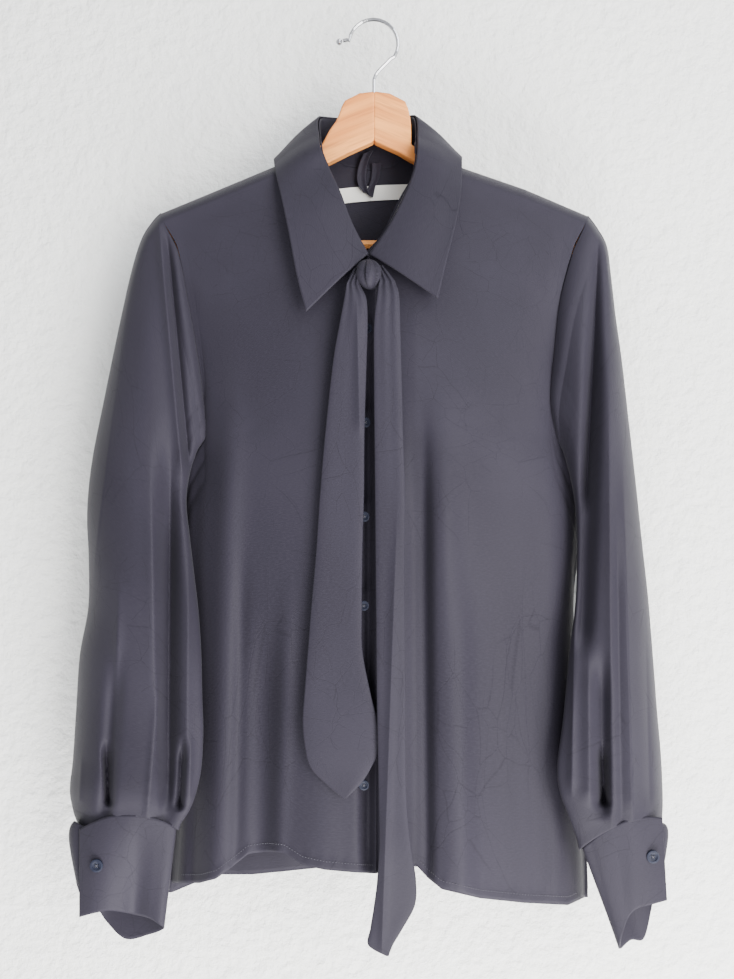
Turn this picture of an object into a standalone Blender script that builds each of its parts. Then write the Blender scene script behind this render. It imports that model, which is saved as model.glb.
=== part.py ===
"""Long-sleeved tie-neck blouse on a wooden hanger, in metres, +Z up, front towards -Y.

The origin is the inner top of the hanger's hook, where a rail or a chain carries it.
Every table is in millimetres. Its x and z columns are what an eye at EYE sees on the
hanger's plane (y = 0), and in_depth() moves each point along its line of sight to its
own depth y, so that the front of the cloth keeps its outline.
"""

import math

import bmesh
import bpy
from mathutils import Vector

EYE = Vector((-6.6, -900.0, -446.7))
WALL = 1.2            # garment cloth with its seam allowances
BAND_WALL = 1.6       # interfaced collar and cuffs
SEAM_GAP = 0.6        # between two pieces that are sewn together
HANGER_THICK = 12.0
WIRE = 3.4            # hook wire diameter
FRONT_BUTTON = 9.0
CUFF_BUTTON = 11.5
BUTTON_THICK = 2.2

# Base colours, roughness and metallic of the materials.
COLOURS = {
    "cloth": ((0.085, 0.082, 0.110, 1.0), 0.55, 0.0),
    "label": ((0.78, 0.77, 0.72, 1.0), 0.8, 0.0),
    "button": ((0.10, 0.11, 0.16, 1.0), 0.3, 0.0),
    "wood": ((0.72, 0.47, 0.27, 1.0), 0.5, 0.0),
    "steel": ((0.75, 0.75, 0.76, 1.0), 0.2, 1.0),
}


def table(columns, rows):
    """The rows' columns by name."""
    return dict(zip(columns.split(), zip(*rows)))


# The body's section at each height: side edges, depth at the middle and at the sides of
# front and back, and how square the section is (1 is a plain arch, 0.45 a full round).
BODY = table("z left right front front_side back back_side square", [
    (-89, -203.5, 205, -17, -14, 18, 13, 1.0),
    (-184, -203.5, 205, -22, -15, 21, 13, 1.0),
    (-220, -187, 190, -28, -17, 24, 13, 0.95),
    (-266.5, -177.5, 177.5, -34, -17, 27, 13, 0.85),
    (-314, -169, 172, -38, -14, 29, 12, 0.75),
    (-361.5, -162.5, 168, -40, -9, 30, 8, 0.6),
    (-397, -160.5, 174, -41, -1, 30, 0, 0.5),
    (-409, -167, 179.5, -41, 3, 30, 4, 0.48),
    (-424.5, -175, 186, -42, 6, 30, 7, 0.46),
    (-456.5, -180.5, 193, -42, 9, 30, 10, 0.45),
    (-506, -181.5, 194, -42, 11, 30, 12, 0.45),
    (-544, -180.5, 190, -42, 12, 30, 13, 0.45),
    (-589.5, -179.5, 190, -42, 13, 30, 14, 0.45),
    (-646.5, -179.5, 193, -43, 13, 31, 14, 0.45),
    (-741.5, -184.5, 196.5, -44, 13, 32, 14, 0.45),
    (-841.5, -192, 200.5, -45, 12, 33, 13, 0.45),
])

# Height of the shoulder ridge, from the left sleeve head to the right one.
RIDGE = table("x z", [
    (-205, -185), (-148, -161.5), (-94, -139), (-70.5, -126.5), (-52, -114.5),
    (-36, -101.5), (0, -89), (26.5, -101.5),
    (41, -116), (59, -128.5), (82.5, -140), (143.5, -161), (207, -188),
])

# Soft folds: a row is a ridge (rise above 0) or a trough, from its upper to its lower end.
BODY_FOLDS = table("x_top z_top x_low z_low half_width rise", [
    (-135, -295, -154, -841.5, 14, 9),
    (-106.5, -551.5, -106.5, -841.5, 18, -10),
    (-42, -475.5, -53, -841.5, 22, 3),
    (40, -342.5, 41, -841.5, 10, -8),
    (62.5, -323.5, 78, -841.5, 16, 7),
    (119.5, -475.5, 127.5, -841.5, 22, -5),
    (173, -380.5, 182.5, -841.5, 14, 6),
])
SLEEVE_FOLDS_LEFT = table("x_top z_top x_low z_low half_width rise", [
    (-195.5, -361.5, -197.5, -753, 10, -13),
    (-243, -589.5, -254.5, -756, 7, -8),
])
SLEEVE_FOLDS_RIGHT = table("x_top z_top x_low z_low half_width rise", [
    (214.5, -209.5, 198.5, -589.5, 8, -10),
    (216.5, -589.5, 217.5, -753, 8, -10),
])

# Front panel with the buttonholes: front edge and side edge of each cross row.
FRONT_RIGHT = table("inner_x inner_z outer_z", [
    (-52.5, -115.5, -185), (-52, -116.5, -186), (-51.5, -119, -188.5), (-50.5, -125, -194.5),
    (-47.5, -136.5, -206), (-42, -155.5, -225), (-30.5, -185, -251.5), (-17, -215.5, -278),
    (2, -239, -308.5), (2, -271.5, -342.5), (2, -314, -373), (2, -357, -397),
    (2, -385.5, -409), (2, -414, -424.5), (2, -453, -456.5), (2, -512, -513.5),
    (2, -589.5, -589.5), (2, -672.5, -675), (2, -751, -760.5), (2, -811.5, -821.5),
])
# Front panel with the buttons, which runs on under the other.
FRONT_LEFT = table("inner_x inner_z outer_z", [
    (41, -117, -188), (41, -118, -189), (41, -120.5, -191), (40.5, -126.5, -197.5),
    (40, -136.5, -208.5), (35, -155.5, -227), (21, -185, -251.5), (5, -215.5, -278),
    (-19, -239, -308.5), (-19, -271.5, -342.5), (-19, -314, -373), (-19, -357, -397),
    (-19, -385.5, -409), (-19, -414, -424.5), (-19, -453, -456.5), (-19, -512, -513.5),
    (-19, -589.5, -589.5), (-19, -672.5, -675), (-19, -751, -760.5), (-19, -806.5, -834),
])
# Lower edge of both fronts, and of the back.
HEM_FRONT = table("x z", [
    (-192, -820.5), (-165.5, -820.5), (-150, -816.5), (-135, -805.5), (-119.5, -793), (-101.5, -790.5),
    (-85.5, -792), (-67.5, -803.5), (-46.5, -808), (-19, -810.5), (2, -811.5), (24.5, -804.5),
    (39, -802.5), (51.5, -816), (64.5, -826.5), (100.5, -835), (143.5, -839.5), (184.5, -841.5),
    (200.5, -834),
])
HEM_BACK = table("x z", [
    (-192, -829), (-151, -812), (-116, -812), (-84.5, -809), (-42, -804.5), (72, -804.5),
    (138.5, -812), (200.5, -825.5),
])

# The collar section by section, from the left point round the back to the right point:
# neck seam, roll line and outer edge. The neck seam lies on the body's surface.
COLLAR = table("neck_x neck_z roll_x roll_z roll_y edge_x edge_z edge_y", [
    (-1, -233.5, -5.5, -223, -40, -64.5, -278, -46),
    (-16, -211.5, -20, -195.5, -38, -73, -245, -44),
    (-29.5, -183, -32.5, -164, -33, -81, -203, -40),
    (-41, -153.5, -43.5, -140.5, -25, -87.5, -171.5, -33),
    (-47.5, -133.5, -50.5, -122.5, -22, -92.5, -149, -23),
    (-50.5, -119.5, -52, -110, -8, -94, -138.5, -10),
    (-51.5, -114, -53, -102.5, 1, -94, -133.5, 1),
    (-50.5, -119.5, -52.5, -95, 10, -90, -132.5, 12),
    (-44.5, -129, -48.5, -93, 19, -78, -136.5, 24),
    (-27.5, -139.5, -30.5, -94, 25, -46.5, -144, 34),
    (-2, -144, -3, -94.5, 27, -3, -149, 38),
    (18, -140.5, 19, -94, 25, 36, -144, 34),
    (33, -130, 34, -92, 19, 67.5, -136.5, 24),
    (39.5, -119.5, 39.5, -93.5, 10, 79, -131, 12),
    (40.5, -114, 41, -102.5, 1, 82.5, -131.5, 1),
    (39.5, -119.5, 41, -112, -9, 83, -135.5, -11),
    (39, -133.5, 41, -124, -22, 83, -151, -23),
    (34, -153.5, 38.5, -143, -25, 81.5, -173.5, -33),
    (20, -183, 28.5, -169, -33, 76, -202, -40),
    (5, -211.5, 13.5, -197.5, -38, 68.5, -232.5, -44),
    (-11.5, -233.5, -4.5, -223.5, -40, 61, -265.5, -46),
])
NECK_AXIS = Vector((-6.5, 0.0, 0.0))

# Sleeve rings from the armhole to the cuff seam: outer and inner end of each ring, depth
# of its front and back, how far its middle arches up, and how much of the armhole's own
# shape it keeps.
SLEEVE_COLUMNS = "out_x out_z out_y in_x in_z in_y front back arch keep"
SLEEVE_RIGHT_ROWS = table(SLEEVE_COLUMNS, [
    (-204, -184, 0, -160, -398, 0, -16, 12, 0, 1.0),
    (-211, -191.5, -1, -162.5, -401.5, -2, -22, 16, 0, 0.8),
    (-221.5, -208.5, -2, -166, -406.5, -4, -28, 19, 0, 0.6),
    (-231, -240, -2, -172, -415, -7, -33, 21, 0, 0.35),
    (-243, -295, -1, -177.5, -433, -11, -38, 22, 0, 0.15),
    (-256.5, -361.5, 0, -180.5, -458.5, -16, -42, 23, 0, 0.0),
    (-268, -420.5, 1, -177.5, -490, -20, -45, 22, 0, 0.0),
    (-272.5, -468, 1, -173, -528, -24, -47, 20, 0, 0.0),
    (-271, -513.5, 1, -169, -563, -28, -48, 17, 0, 0.0),
    (-271.5, -558.5, 1, -166.5, -601, -31, -49, 14, 0, 0.0),
    (-279.5, -604, 0, -165.5, -642, -34, -50, 11, 0, 0.0),
    (-283, -656, -1, -164.5, -677, -37, -52, 8, 0, 0.0),
    (-286, -702, -3, -166.5, -712, -39, -54, 5, 0, 0.0),
    (-289, -731, -6, -172, -737, -40, -55, 1, 4, 0.0),
    (-286, -751, -10, -178.5, -753, -40, -54, -4, 9, 0.0),
    (-280.5, -767.5, -14, -188, -766.5, -38, -50, -9, 13, 0.0),
])
SLEEVE_LEFT_ROWS = table(SLEEVE_COLUMNS, [
    (205.5, -186.5, 0, 174.5, -398, 0, -16, 12, 0, 1.0),
    (214, -198.5, -1, 176.5, -402.5, -2, -22, 16, 0, 0.8),
    (222.5, -215.5, -2, 179.5, -409, -4, -28, 19, 0, 0.6),
    (226, -244, -2, 184.5, -418.5, -7, -33, 21, 0, 0.35),
    (230, -282, -1, 189, -436, -11, -38, 22, 0, 0.15),
    (235.5, -323.5, 0, 193, -458.5, -16, -42, 23, 0, 0.0),
    (242, -380.5, 1, 195, -490, -20, -45, 22, 0, 0.0),
    (248.5, -437.5, 1, 195, -526, -24, -47, 20, 0, 0.0),
    (254.5, -494.5, 1, 193.5, -559.5, -28, -48, 17, 0, 0.0),
    (260.5, -549, 1, 189, -592.5, -31, -49, 14, 0, 0.0),
    (265, -604, 0, 185.5, -629.5, -34, -50, 11, 0, 0.0),
    (269, -656, -1, 181.5, -669.5, -37, -52, 8, 0, 0.0),
    (272.5, -696, -3, 176.5, -707.5, -39, -54, 5, 0, 0.0),
    (274, -724.5, -6, 178.5, -732, -40, -55, 1, 2, 0.0),
    (274.5, -743.5, -10, 186, -754, -40, -54, -4, 4, 0.0),
    (274, -756, -14, 197.5, -785.5, -38, -50, -9, 9, 0.0),
])

# Cuffs, from the buttonhole end round the arm to the button end: top and lower edge.
CUFF_COLUMNS = "top_x top_z top_y low_x low_z low_y"
CUFF_RIGHT = table(CUFF_COLUMNS, [
    (-280, -769.5, -40, -280, -853, -44),
    (-268, -763, -45, -267, -849.5, -48),
    (-252.5, -757.5, -49, -253.5, -847, -47),
    (-235.5, -755, -50.5, -240.5, -848, -41),
    (-219.5, -756.5, -49.5, -228, -850.5, -33),
    (-203.5, -760.5, -46.5, -214, -854, -37),
    (-192, -765.5, -42.6, -203.5, -860.5, -38),
    (-187.5, -768, -37, -199.5, -864, -32),
    (-195.5, -764, -21.4, -213, -869, -25),
    (-220.5, -756.5, -9.8, -235.5, -873, -20),
    (-251, -757, -9.8, -254.5, -855.5, -16),
    (-271.5, -764.5, -12, -266, -840.5, -20),
    (-285, -769.5, -12, -277.5, -834, -24),
    (-295.5, -754, -24, -283, -819.5, -31),
    (-290, -759.5, -35, -277.5, -827, -38),
    (-271.5, -769, -39.5, -262, -841.5, -42),
])
CUFF_LEFT = table(CUFF_COLUMNS, [
    (274, -758.5, -40, 278.5, -837, -44),
    (260.5, -757.5, -44, 264, -841, -48),
    (245, -760, -49.5, 250, -845, -48),
    (232, -764.5, -50.5, 242, -853, -46),
    (218.5, -771.5, -48.5, 236.5, -868, -44),
    (207, -779.5, -45, 233, -880.5, -40),
    (197.5, -787, -38, 233.5, -882.5, -34),
    (207, -779.5, -17.9, 243, -874.5, -26),
    (226, -767.5, -9.7, 255.5, -873, -20),
    (251, -759, -10, 263, -848, -18),
    (270, -758.5, -12, 267, -829, -22),
    (283, -752, -24, 276.5, -798.5, -32),
    (277.5, -758, -35, 271.5, -817.5, -39),
    (262, -763.5, -39, 260.5, -827, -42),
])

# Tie tails: both edges and depth down each one.
TAIL_COLUMNS = "z left right y"
TAIL_RIGHT = table(TAIL_COLUMNS, [
    (-246.5, -25.5, -16, -50.5), (-254.5, -26.5, -12, -51.5), (-266.5, -28.5, -7, -53),
    (-290.5, -33, -6, -53), (-325.5, -39, -7, -52.5),
    (-394, -46.5, -9, -52), (-452, -51.5, -9.5, -52), (-504, -55, -11, -52),
    (-561, -60, -11.5, -52.5), (-599, -63, -11, -53), (-637, -66, -4, -53),
    (-667.5, -68, 3, -53.5), (-694, -65.5, 4, -54), (-711.5, -60, -3, -54),
    (-726.5, -45.5, -12.5, -54), (-740.5, -29.5, -26.5, -54),
])
TAIL_LEFT = table(TAIL_COLUMNS, [
    (-244, 7.5, 18.5, -51), (-251.5, 4.5, 21, -53), (-263, 3, 24, -56),
    (-291.5, 0, 25, -57), (-345.5, 0, 26.5, -56.5),
    (-403.5, 0.5, 28, -56.5), (-452, 1, 29.5, -56.5), (-513.5, 1.5, 29.5, -57),
    (-570.5, 2, 29.5, -57), (-627.5, 2.5, 30, -57.5), (-684.5, 3.5, 30, -58),
    (-741.5, 4.5, 31, -58), (-784.5, 5, 35, -58), (-817.5, 3, 40, -58),
    (-841.5, 0, 39, -58), (-863.5, -3.5, 27.5, -58), (-879.5, -5.5, 18, -58),
    (-890, 11.5, 14, -58),
])
# The knot between the collar's points, a full roll from its upper to its lower end.
KNOT = table("x z y half_width half_height half_depth", [
    (-5, -242.5, -44.6, 11.8, 13.9, 12.8),
])

# Buttons down the front, on the front that lies below, and one on each cuff.
FRONT_BUTTONS = table("x z", [
    (-6.5, -293.5), (-8, -383), (-9, -472.5),
    (-9.5, -557), (-9.5, -642), (-9.5, -727.5),
])
CUFF_BUTTONS = table("x z", [(-263.5, -804), (265, -795.5)])

# Outline of one half of the hanger, from the top of the mitre joint round the arm.
HANGER_RIGHT = table("x z", [
    (0, -70.5), (-13.5, -72), (-27.5, -79), (-30.5, -84.5), (-33, -92),
    (-36, -98.5), (-42, -107), (-49.5, -120.5), (-70.5, -131.5), (-94, -142.5),
    (-148, -165), (-188, -181), (-196.5, -187), (-200, -198.5), (-197.5, -213.5),
    (-190, -225), (-175, -227), (-160, -225), (-159.5, -204), (-144.5, -196.5), (-118, -178.5),
    (-80, -158.5), (-44.5, -139), (-23, -128), (0, -117.5),
])
HANGER_LEFT = table("x z", [
    (0.5, -70.5), (15, -72.5), (29.5, -80), (32.5, -87), (34, -94),
    (35, -101.5), (35.5, -121.5), (59, -132.5), (82.5, -143.5),
    (143.5, -165), (188, -183.5), (197.5, -189.5), (201, -200), (198.5, -215.5),
    (191, -226), (176, -227.5), (161, -226), (160.5, -205), (145.5, -197.5), (119.5, -179.5),
    (80, -159.5), (41.5, -139), (23, -128), (0.5, -117.5),
])
BAR = table("x z", [(-159, -215), (160, -215)])

# Hanging loop: outline of the folded ribbon, open slit in the middle.
LOOP = table("x z", [
    (-10.5, -128), (-1, -131), (-6.5, -145), (-6, -152.5), (-3.5, -145),
    (-3, -136.5), (6.5, -137.5), (6, -148), (-0.5, -162), (-7, -170),
    (-14, -159.5), (-15.5, -144),
])
LABEL = table("x z_top z_low", [
    (-42, -162), (0, -158), (42, -156.5),
])
TAIL_RIGHT_FOLDS = table("x_top z_top x_low z_low half_width rise", [
    (-17, -243, -13.5, -390, 5, 2.5),
])
TAIL_LEFT_FOLDS = table("x_top z_top x_low z_low half_width rise", [
    (23, -437.5, 7.5, -884, 5, 3),
])


def blend(a, b, share):
    return a + (b - a) * share


def along(values, share):
    """The value a share (0 to 1) of the way down a column, on a smooth curve."""
    last = len(values) - 1
    place = min(max(share, 0.0), 1.0) * last
    i = min(int(place), last - 1)
    f = place - i
    before = values[max(i - 1, 0)]
    after = values[min(i + 2, last)]
    slope_in = (values[i + 1] - before) / 2
    slope_out = (after - values[i]) / 2
    step = values[i + 1] - values[i]
    ease = f * f * (3 - 2 * f)
    bend = f * (1 - f)
    return (values[i] + step * ease
            + bend * ((1 - f) * slope_in - f * slope_out))


def share_at(column, value):
    """How far down a steadily rising or falling column a value lies, from 0 to 1."""
    last = len(column) - 1
    for i in range(last):
        low, high = sorted((column[i], column[i + 1]))
        if low <= value <= high and high > low:
            return (i + (value - column[i]) / (column[i + 1] - column[i])) / last
    rising = column[last] > column[0]
    return 1.0 if (value > column[0]) == rising else 0.0


def read(source, key, column, value):
    """Column `key` of a table, where its column `column` has the value."""
    return along(source[key], share_at(source[column], value))


def straight(source, key, column, value):
    """The same on straight lines between the rows."""
    values = source[key]
    place = share_at(source[column], value) * (len(values) - 1)
    i = min(int(place), len(values) - 2)
    return blend(values[i], values[i + 1], place - i)


def in_depth(x, y, z):
    """A point seen at (x, z) on the hanger's plane, moved to depth y, in metres."""
    reach = (y - EYE.y) / -EYE.y
    return Vector((blend(EYE.x, x, reach), y, blend(EYE.z, z, reach))) / 1000


def relief(folds, x, z):
    """How far the soft folds lift the cloth towards the viewer at (x, z)."""
    total = 0.0
    for x_top, z_top, x_low, z_low, half_width, rise in zip(*folds.values()):
        share = (z_top - z) / (z_top - z_low)
        if 0.0 < share <= 1.02:
            middle = blend(x_top, x_low, share)
            fade = min(share / 0.35, 1.0)
            shape = math.exp(-((x - middle) / half_width) ** 2)
            total += rise * shape * fade * fade * (3 - 2 * fade)
    return total


def shoulder_turn(x, z):
    """0 on the shoulder ridge, growing to 1 where the cloth hangs clear of it."""
    drop = (straight(RIDGE, "z", "x", x) - z) / 9.0
    return math.sqrt(1 - (1 - min(max(drop, 0.0), 1.0)) ** 2)


def body_depth(x, z, middle, side):
    """Depth of the body's front or back at (x, z), before its folds."""
    left = read(BODY, "left", "z", z)
    right = read(BODY, "right", "z", z)
    across = min(abs(2 * (x - left) / (right - left) - 1), 1.0)
    arch = (1 - across ** 2.2) ** read(BODY, "square", "z", z)
    edge = read(BODY, side, "z", z)
    return blend(edge, read(BODY, middle, "z", z), arch), across


def front_y(x, z):
    depth, across = body_depth(x, z, "front", "front_side")
    folds = relief(BODY_FOLDS, x, z) * (1 - across ** 6)
    return depth * shoulder_turn(x, z) - folds - SEAM_GAP / 2


def back_y(x, z):
    depth, across = body_depth(x, z, "back", "back_side")
    return depth * shoulder_turn(x, z) + SEAM_GAP / 2


def crowded(count, power=1.7):
    """Shares from 0 to 1 that lie closer together towards 1."""
    return [1 - (1 - i / count) ** power for i in range(count + 1)]


def even(count):
    return [i / count for i in range(count + 1)]


def material(name):
    made = bpy.data.materials.get(name)
    if made is None:
        made = bpy.data.materials.new(name)
        made.use_nodes = True
        shader = made.node_tree.nodes["Principled BSDF"]
        colour, roughness, metallic = COLOURS[name]
        shader.inputs["Base Color"].default_value = colour
        shader.inputs["Roughness"].default_value = roughness
        shader.inputs["Metallic"].default_value = metallic
    return made


def add_object(name, data, look):
    made = bpy.data.objects.new(name, data)
    data.materials.append(material(look))
    bpy.data.collections["tie_neck_blouse"].objects.link(made)
    return made


def sheet(name, point, across, down, wall, look="cloth", ring=False):
    """Cloth through point(u, v), u across and v down, with its wall behind that surface.

    Seen with u to the right and v downwards, the surface faces the viewer.
    """
    grid = bmesh.new()
    bmesh.ops.create_grid(
        grid, x_segments=len(across) - 1, y_segments=len(down) - 1, size=0.5)
    for vert in grid.verts:
        u = across[round((vert.co.x + 0.5) * (len(across) - 1))]
        v = down[round((0.5 - vert.co.y) * (len(down) - 1))]
        vert.co = point(u, v)
    if ring:
        bmesh.ops.remove_doubles(grid, verts=grid.verts, dist=0.00001)
    mesh = bpy.data.meshes.new(name)
    grid.to_mesh(mesh)
    grid.free()
    mesh.shade_smooth()
    made = add_object(name, mesh, look)
    shell = made.modifiers.new("Wall", "SOLIDIFY")
    shell.thickness = wall / 1000
    shell.offset = -1.0
    shell.use_even_offset = False
    return made


def panel_point(rows, flip, depth, hem):
    """A front panel's surface, from its front edge to its side edge."""
    side = "right" if flip else "left"
    last = len(rows["inner_x"]) - 1

    def point(u, v):
        if flip is False:
            u = 1 - u
        inner_x = along(rows["inner_x"], v)
        inner_z = along(rows["inner_z"], v)
        outer_z = along(rows["outer_z"], v)
        outer_x = read(BODY, side, "z", outer_z)
        x = blend(inner_x, outer_x, u)
        z = blend(inner_z, outer_z, u)
        ridge = straight(RIDGE, "z", "x", x) - 0.8
        ridge_line = blend(rows["inner_z"][0], rows["outer_z"][0], u)
        hem_line = blend(rows["inner_z"][-1], rows["outer_z"][-1], u)
        z += (ridge - ridge_line) * min(max((9 - last * v) / 6, 0.0), 1.0)
        z += (straight(hem, "z", "x", x) - hem_line) * v ** 6
        return in_depth(x, depth(x, z), z)

    return point


def build_fronts():
    across = crowded(12)
    down = even(len(FRONT_RIGHT["inner_x"]) - 1)
    mirrored = [1 - share for share in reversed(across)]
    sheet("front_right", panel_point(FRONT_RIGHT, False, front_y, HEM_FRONT),
          mirrored, down, WALL)

    def lower_front(x, z):
        under = min(max((39 - x) / 20, 0.0), 1.0)
        return front_y(x, z) + (WALL + SEAM_GAP) * under

    sheet("front_left", panel_point(FRONT_LEFT, True, lower_front, HEM_FRONT),
          across, down, WALL)


def back_top(x):
    """Height of the back's upper edge: shoulder ridge, then the neck seam."""
    neck_x = COLLAR["neck_x"][6:15]
    if neck_x[0] < x < neck_x[-1]:
        place = share_at(neck_x, x) * (len(neck_x) - 1)
        i = min(int(place), len(neck_x) - 2)
        neck_z = COLLAR["neck_z"][6:15]
        return blend(neck_z[i], neck_z[i + 1], place - i) - 2.0
    return straight(RIDGE, "z", "x", x) - 0.8


def build_back():
    columns = [-203.5, -200.5, -192, -175, -148, -119.5, -94, -70.5, -57, -52, -50, -43.5,
               -27.5, -2, 17, 32.5, 38.5, 41, 44.5, 59, 82.5, 110, 143.5, 176.5,
               194, 202.5, 205]
    width = columns[-1] - columns[0]
    rows = table("drop outer_z", [
        (0, -185), (1, -186), (3.5, -188.5), (10, -194.5), (24, -209.5), (50, -233.5), (82, -266.5),
        (118, -308.5), (0, -342.5), (0, -373), (0, -397), (0, -409), (0, -424.5), (0, -456.5),
        (0, -513.5), (0, -589.5), (0, -675), (0, -760.5), (0, -829),
    ])
    top_rows = 8

    def point(u, v):
        left = read(BODY, "left", "z", along(rows["outer_z"], v))
        right = read(BODY, "right", "z", along(rows["outer_z"], v))
        top_x = columns[0] + (1 - u) * width
        x = blend(left, right, 1 - u)
        outer_z = along(rows["outer_z"], v)
        index = round(v * (len(rows["drop"]) - 1))
        share = min(index / top_rows, 1.0)
        drop = rows["drop"][index] if index < top_rows else 0.0
        z = blend(back_top(top_x) - drop, outer_z, share ** 2)
        z += (straight(HEM_BACK, "z", "x", x) - rows["outer_z"][-1]) * v ** 6
        return in_depth(x, back_y(x, z), z)

    across = [1 - (x - columns[0]) / width for x in reversed(columns)]
    sheet("back", point, across, even(len(rows["drop"]) - 1), WALL)


def ring_point(rows, loop_x, sense):
    """A sleeve's surface: u goes round the arm, v down it."""
    def point(u, v):
        angle = 2 * math.pi * u
        near = (1 + math.cos(angle)) / 2
        swing = math.sin(angle)
        values = {key: along(column, v) for key, column in rows.items()}
        x = blend(values["in_x"], values["out_x"], near)
        z = blend(values["in_z"], values["out_z"], near) + values["arch"] * swing ** 2
        y = blend(values["in_y"], values["out_y"], near)
        if swing > 0:
            y += (values["front"] - y) * swing
        else:
            y += (values["back"] - y) * -swing
        chord_x = blend(rows["in_x"][0], rows["out_x"][0], near)
        loop_z = blend(rows["in_z"][0], rows["out_z"][0], near)
        edge = read(BODY, loop_x, "z", loop_z)
        depth = front_y if swing > 0 else back_y
        loop_y = depth(edge, loop_z) if abs(swing) > 0.001 else 0.0
        start_y = rows["front"][0] * swing if swing > 0 else rows["back"][0] * -swing
        x += values["keep"] * (edge + sense * 1.85 - chord_x)
        y += values["keep"] * (loop_y - start_y)
        return x, y, z

    return point


def build_sleeve(name, rows, side, sense, folds):
    surface = ring_point(rows, side, sense)

    def point(u, v):
        x, y, z = surface(u, v)
        swing = max(math.sin(2 * math.pi * u), 0.0)
        y -= relief(folds, x, z) * min(swing * 1.6, 1.0)
        return in_depth(x, y, z)

    round_arm = even(24)
    if side == "right":
        round_arm = [1 - share for share in round_arm]
    sheet(name, point, round_arm, even(22), WALL, ring=True)


def build_cuff(name, rows, flip):
    def point(u, v):
        if flip:
            u = 1 - u
        x = blend(along(rows["top_x"], u), along(rows["low_x"], u), v)
        y = blend(along(rows["top_y"], u), along(rows["low_y"], u), v)
        z = blend(along(rows["top_z"], u), along(rows["low_z"], u), v)
        return in_depth(x, y, z)

    sheet(name, point, even(28), even(4), BAND_WALL)


def collar_row(u):
    row = {key: along(column, u) for key, column in COLLAR.items()}
    back = 0.29 < u < 0.71
    depth = back_y if back else front_y
    row["neck_y"] = depth(row["neck_x"], row["neck_z"])
    return row


def away_from_neck(x, y):
    outward = Vector((x, y, 0)) - NECK_AXIS
    return outward.normalized()


def build_collar():
    def fall(u, v):
        row = collar_row(u)
        share = v
        outward = away_from_neck(row["roll_x"], row["roll_y"])
        lift = 3.5 * math.sin(math.pi * share) * (1 - share * 0.6)
        x = blend(row["roll_x"], row["edge_x"], share) + outward.x * lift
        y = blend(row["roll_y"], row["edge_y"], share) + outward.y * lift
        z = blend(row["roll_z"], row["edge_z"], share) + lift * 0.5
        return in_depth(x, y, z)

    def stand(u, v):
        row = collar_row(u)
        outward = away_from_neck(row["roll_x"], row["roll_y"])
        v *= 0.93
        x = blend(row["roll_x"] - outward.x * 3.0, row["neck_x"], v)
        y = blend(row["roll_y"] - outward.y * 3.0, row["neck_y"], v)
        z = blend(row["roll_z"] - 1.0, row["neck_z"], v)
        return in_depth(x, y, z)

    sections = len(COLLAR["roll_x"]) - 1
    sheet("collar", fall, even(sections * 2), [0, 0.12, 0.35, 0.65, 1], BAND_WALL)
    sheet("collar_stand", stand, even(sections * 2), even(2), WALL)


def build_tail(name, rows, folds):
    def point(u, v):
        x = blend(along(rows["left"], v), along(rows["right"], v), u)
        z = along(rows["z"], v)
        return in_depth(x, along(rows["y"], v) - relief(folds, x, z), z)

    sheet(name, point, even(6), even(len(rows["z"]) - 1), 2.0)


def build_knot():
    for x, z, y, half_width, half_height, half_depth in zip(*KNOT.values()):
        mesh = bpy.data.meshes.new("tie_knot")
        ball = bmesh.new()
        bmesh.ops.create_uvsphere(ball, u_segments=16, v_segments=10, radius=0.001)
        for vert in ball.verts:
            vert.co = Vector((vert.co.x * half_width, vert.co.y * half_depth,
                              vert.co.z * half_height))
        ball.to_mesh(mesh)
        ball.free()
        mesh.shade_smooth()
        knot = add_object("tie_knot", mesh, "cloth")
        knot.location = in_depth(x, y, z)
        knot.rotation_euler.y = math.radians(-14)


def add_button(name, x, y, z, width):
    mesh = bpy.data.meshes.new(name)
    disc = bmesh.new()
    bmesh.ops.create_cone(disc, cap_ends=True, segments=20, depth=BUTTON_THICK / 1000,
                          radius1=width / 2000, radius2=width / 2000)
    disc.to_mesh(mesh)
    disc.free()
    made = add_object(name, mesh, "button")
    made.location = in_depth(x, y, z)
    made.rotation_euler.x = math.radians(90)
    rim = made.modifiers.new("Rim", "BEVEL")
    rim.width = 0.0005
    rim.segments = 1


def cuff_depth(rows, x, z):
    """Depth of the cuff's upper layer at (x, z)."""
    nearest = None
    for step in range(60):
        u = 0.3 * step / 60
        top_z = along(rows["top_z"], u)
        v = (top_z - z) / (top_z - along(rows["low_z"], u))
        miss = abs(blend(along(rows["top_x"], u), along(rows["low_x"], u), v) - x)
        y = blend(along(rows["top_y"], u), along(rows["low_y"], u), v)
        nearest = min(nearest or (miss, y), (miss, y))
    return nearest[1]


def build_buttons():
    lift = BUTTON_THICK / 2 + 0.5
    for i, (x, z) in enumerate(zip(*FRONT_BUTTONS.values())):
        add_button(f"front_button_{i + 1}", x, front_y(x, z) - lift, z, FRONT_BUTTON)
    for name, rows, x, z in zip(("right", "left"), (CUFF_RIGHT, CUFF_LEFT),
                                *CUFF_BUTTONS.values()):
        y = cuff_depth(rows, x, z) - lift - 1.2
        add_button(f"cuff_button_{name}", x, y, z, CUFF_BUTTON)


def outline(name, points, y, thick, look, bevel=0.0):
    """A flat outline in the hanger's plane, extruded along Y."""
    curve = bpy.data.curves.new(name, "CURVE")
    curve.dimensions = "2D"
    curve.fill_mode = "BOTH"
    curve.extrude = thick / 2000 - bevel / 1000
    curve.bevel_depth = bevel / 1000
    curve.bevel_resolution = 1
    curve.offset = -bevel / 1000
    line = curve.splines.new("POLY")
    line.points.add(len(points) - 1)
    for target, (x, z) in zip(line.points, points):
        spot = in_depth(x, y, z)
        target.co = (spot.x, spot.z, 0, 1)
    line.use_cyclic_u = True
    made = add_object(name, curve, look)
    made.location.y = y / 1000
    made.rotation_euler.x = math.radians(90)
    return made


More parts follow.
